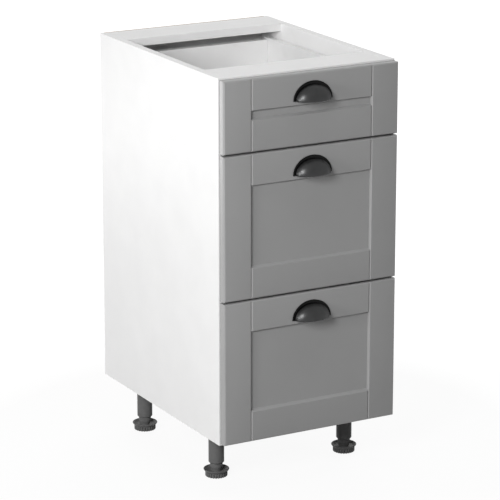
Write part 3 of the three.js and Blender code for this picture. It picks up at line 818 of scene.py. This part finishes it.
def plate_screws(screw):
    """Screws through the legs' socket plates into the bottom panel."""
    screws = []
    for place in LEGS:
        centre, size = extent(f"leg_socket_{place}")
        under = centre.z + size.z / 2 - SOCKET_PLATE
        for i in range(PLATE_SCREWS):
            angle = 2 * math.pi * (i + 0.5) / PLATE_SCREWS
            x = centre.x + PLATE_SCREW_CIRCLE * math.cos(angle)
            y = centre.y + PLATE_SCREW_CIRCLE * math.sin(angle)
            screws.append((screw, at(x, y, under, FACE_DOWN)))
    add_piece("leg_plate_screws", placed("leg_plate_screws", screws), "carcass", "zinc_steel")


def box_screws(name, screw):
    """Screws from the tabs of a drawer's sides into its front, and from the sides into its back."""
    body = f"{name}_drawer"
    back, back_size = extent(f"{body}_back")
    lowest = extent(f"{body}_base")[0].z + TAB_SCREWS_ABOVE_BASE
    screws = []
    for side, hand in SIDES.items():
        low, high = corners(f"{body}_side_{side}")
        tab = (high.x if hand < 0 else low.x) + hand * TAB_SCREW_INSET
        wall = back.x + hand * (back_size.x / 2 + SEAT_GAP + SHEET)
        clear = extent(f"{name}_runner_{side}")[0].z + CLEAR_OF_RUNNER
        for share in BOX_SCREW_SHARES:
            z = lowest + share * (high.z - TAB_SCREWS_BELOW_TOP - lowest)
            screws.append((screw, at(tab, low.y + SHEET, z, FACE_REAR)))
            height = back.z + (share - 0.5) * back_size.z / 2
            if height > clear:
                screws.append((screw, at(wall, back.y, height, face_side(hand))))
    add_piece(f"{body}_box_screws", placed("box_screws", screws), body, "zinc_steel")


def handle_screws(name):
    body = f"{name}_drawer"
    for side in SIDES:
        node = f"{body}_screw_{side}"
        centre, size = extent(node)
        shank = size.y - HANDLE_SCREW_HEAD
        mesh = pan_head(size.x / 2, HANDLE_SCREW_HEAD, HANDLE_SCREW_SHANK, shank)
        under_head = centre.y + size.y / 2 - HANDLE_SCREW_HEAD
        mesh.transform(at(centre.x, under_head, centre.z, FACE_REAR))
        add_piece(f"{node}_visual", mesh, body, "zinc_steel", [node])


def fasteners():
    small = pan_head(PAN_HEAD_RADIUS, PAN_HEAD_HEIGHT, PAN_SHANK_RADIUS, PAN_SHANK)
    runner_screws(small)
    plate_screws(small)
    for name in DRAWERS:
        box_screws(name, small)
        handle_screws(name)


def cam_fittings():
    """Round fittings that pull the cross boards to the sides, let into their undersides."""
    outline = [(0, -CAM_DEPTH), (CAM_RADIUS, -CAM_DEPTH), (CAM_RADIUS, CAM_PROUD), (0, CAM_PROUD)]
    blank = lathe("cam", soften(outline, CAM_ROUNDING), CAM_STEPS)
    disc = smooth(boolean(blank, cross_tool(*CAM_CROSS), "DIFFERENCE"))
    cams = []
    for node, shares in CAM_SHARES.items():
        low, high = corners(node)
        for share in shares:
            y = low.y + share * (high.y - low.y)
            for x in (low.x + CAM_FROM_END, high.x - CAM_FROM_END):
                cams.append((disc, at(x, y, low.z, FACE_DOWN)))
    add_piece("cam_fittings", placed("cam_fittings", cams), "carcass", "zinc_steel")


def staple_mesh():
    """The crown of a staple: a flattened wire with rounded ends, lying along X."""
    half, wire = STAPLE_LENGTH / 2, STAPLE_WIRE
    corner_points = [(-half, -wire), (half, -wire), (half, wire), (-half, wire)]
    outline = soften(corner_points, wire, closed=True)
    return prism("staple", outline, -2 * wire, 0.5 * wire)


def back_staples():
    """Staples that hold the back board, a little uneven as from a hand-held tool."""
    dice = random.Random(STAPLE_SEED)
    staple = staple_mesh()
    low, high = corners("back_panel")
    y = high.y + STAPLE_PROUD - 0.5 * STAPLE_WIRE
    start = low.x + STAPLE_ROW_INSET
    length = high.x - low.x - 2 * STAPLE_ROW_INSET
    count = round(length / STAPLE_SPACING)
    parts = []
    for board in ("bottom_panel", "rear_top_rail"):
        row_z = extent(board)[0].z
        for i in range(count):
            tilt = math.radians(dice.uniform(-STAPLE_TILT, STAPLE_TILT))
            turn = FACE_REAR @ Matrix.Rotation(tilt, 4, "Z")
            x = start + length * (i + 0.5) / count
            x += dice.uniform(-STAPLE_SLIP_ALONG, STAPLE_SLIP_ALONG)
            z = row_z + dice.uniform(-STAPLE_SLIP_ACROSS, STAPLE_SLIP_ACROSS)
            parts.append((staple, at(x, y, z, turn)))
    add_piece("back_staples", placed("back_staples", parts), "carcass", "zinc_steel")


# ---- Stage, light and camera

def seen_directly(nodes):
    """1 for camera, glossy and transmission rays."""
    path = nodes.add("ShaderNodeLightPath").outputs
    total = path["Is Camera Ray"]
    for name in ("Is Glossy Ray", "Is Transmission Ray"):
        inputs = {0: total, 1: path[name]}
        total = nodes.add("ShaderNodeMath", inputs, operation="MAXIMUM").outputs[0]
    return total


def world():
    """Surroundings that show white and light the cabinet only a little."""
    surroundings = bpy.data.worlds.new("surroundings")
    bpy.context.scene.world = surroundings
    surroundings.use_nodes = True
    nodes = Nodes(surroundings.node_tree)
    background = nodes.tree.nodes["Background"]
    background.inputs["Color"].default_value = grey(1)
    inputs = {"Value": seen_directly(nodes), "To Min": AMBIENT, "To Max": 1}
    strength = nodes.add("ShaderNodeMapRange", inputs).outputs["Result"]
    nodes.tree.links.new(strength, background.inputs["Strength"])


def floor_material():
    """Pale floor: white with a soft shadow from above, clear from below."""
    sockets = {"Base_Color": grey(FLOOR_TONE), "Roughness": 0.9, "Specular_IOR_Level": 0.1}
    finish = Finish("pale_floor", **sockets)
    scale = 1 / (FLOOR_SHADE_REACH * MM)
    inputs = {"Vector": finish.stretched(scale, scale, scale)}
    near = finish.add("ShaderNodeTexGradient", inputs, gradient_type="SPHERICAL").outputs["Fac"]
    inputs = {"Value": near, "From Max": 0.5, "To Min": 1, "To Max": 1 - FLOOR_SHADE}
    whiteness = finish.add("ShaderNodeMapRange", inputs).outputs["Result"]
    inputs = {0: seen_directly(finish), 1: whiteness}
    share = finish.add("ShaderNodeMath", inputs, operation="MULTIPLY").outputs[0]
    glow = finish.add("ShaderNodeEmission", {"Strength": FLOOR_GLOW}).outputs[0]
    inputs = {0: share, 1: finish.shader.outputs[0], 2: glow}
    white = finish.add("ShaderNodeMixShader", inputs).outputs[0]
    below = finish.add("ShaderNodeNewGeometry").outputs["Backfacing"]
    clear = finish.add("ShaderNodeBsdfTransparent").outputs[0]
    one_sided = finish.add("ShaderNodeMixShader", {0: below, 1: white, 2: clear}).outputs[0]
    output = finish.tree.nodes["Material Output"]
    finish.tree.links.new(one_sided, output.inputs["Surface"])
    return finish.material


def floor():
    half = FLOOR_SIZE / 2
    outline = ((-half, -half), (half, -half), (half, half), (-half, half))
    mesh = make_mesh("floor", [(x, y, -FLOOR_DROP) for x, y in outline], [(0, 1, 2, 3)])
    mesh.materials.append(floor_material())
    ground = bpy.data.objects.new("floor", mesh)
    bpy.context.scene.collection.objects.link(ground)


def lights():
    for name, place, target, width, height, watts, mirrored in LAMPS:
        data = bpy.data.lights.new(name, "AREA")
        data.shape = "RECTANGLE"
        data.size, data.size_y = width * MM, height * MM
        data.energy = watts
        lamp = bpy.data.objects.new(name, data)
        bpy.context.scene.collection.objects.link(lamp)
        aim = Vector(target) - Vector(place)
        lamp.location = Vector(place) * MM
        lamp.rotation_euler = aim.to_track_quat("-Z", "Y").to_euler()
        lamp.visible_glossy = mirrored


def camera():
    data = bpy.data.cameras.new("camera")
    data.lens = CAMERA_LENS
    data.sensor_width = SENSOR_WIDTH
    data.clip_end = CAMERA_CLIP_END
    view = bpy.data.objects.new("camera", data)
    bpy.context.scene.collection.objects.link(view)
    view.location = Vector(CAMERA_PLACE) * MM
    view.rotation_euler = (math.pi / 2 - CAMERA_DIP, 0, -CAMERA_TURN)
    bpy.context.scene.camera = view
    bpy.context.scene.view_settings.view_transform = "Standard"


camera()
boards()
fronts()
sheet_metal()
handles()
legs()
rollers()
fasteners()
cam_fittings()
back_staples()
world()
floor()
lights()
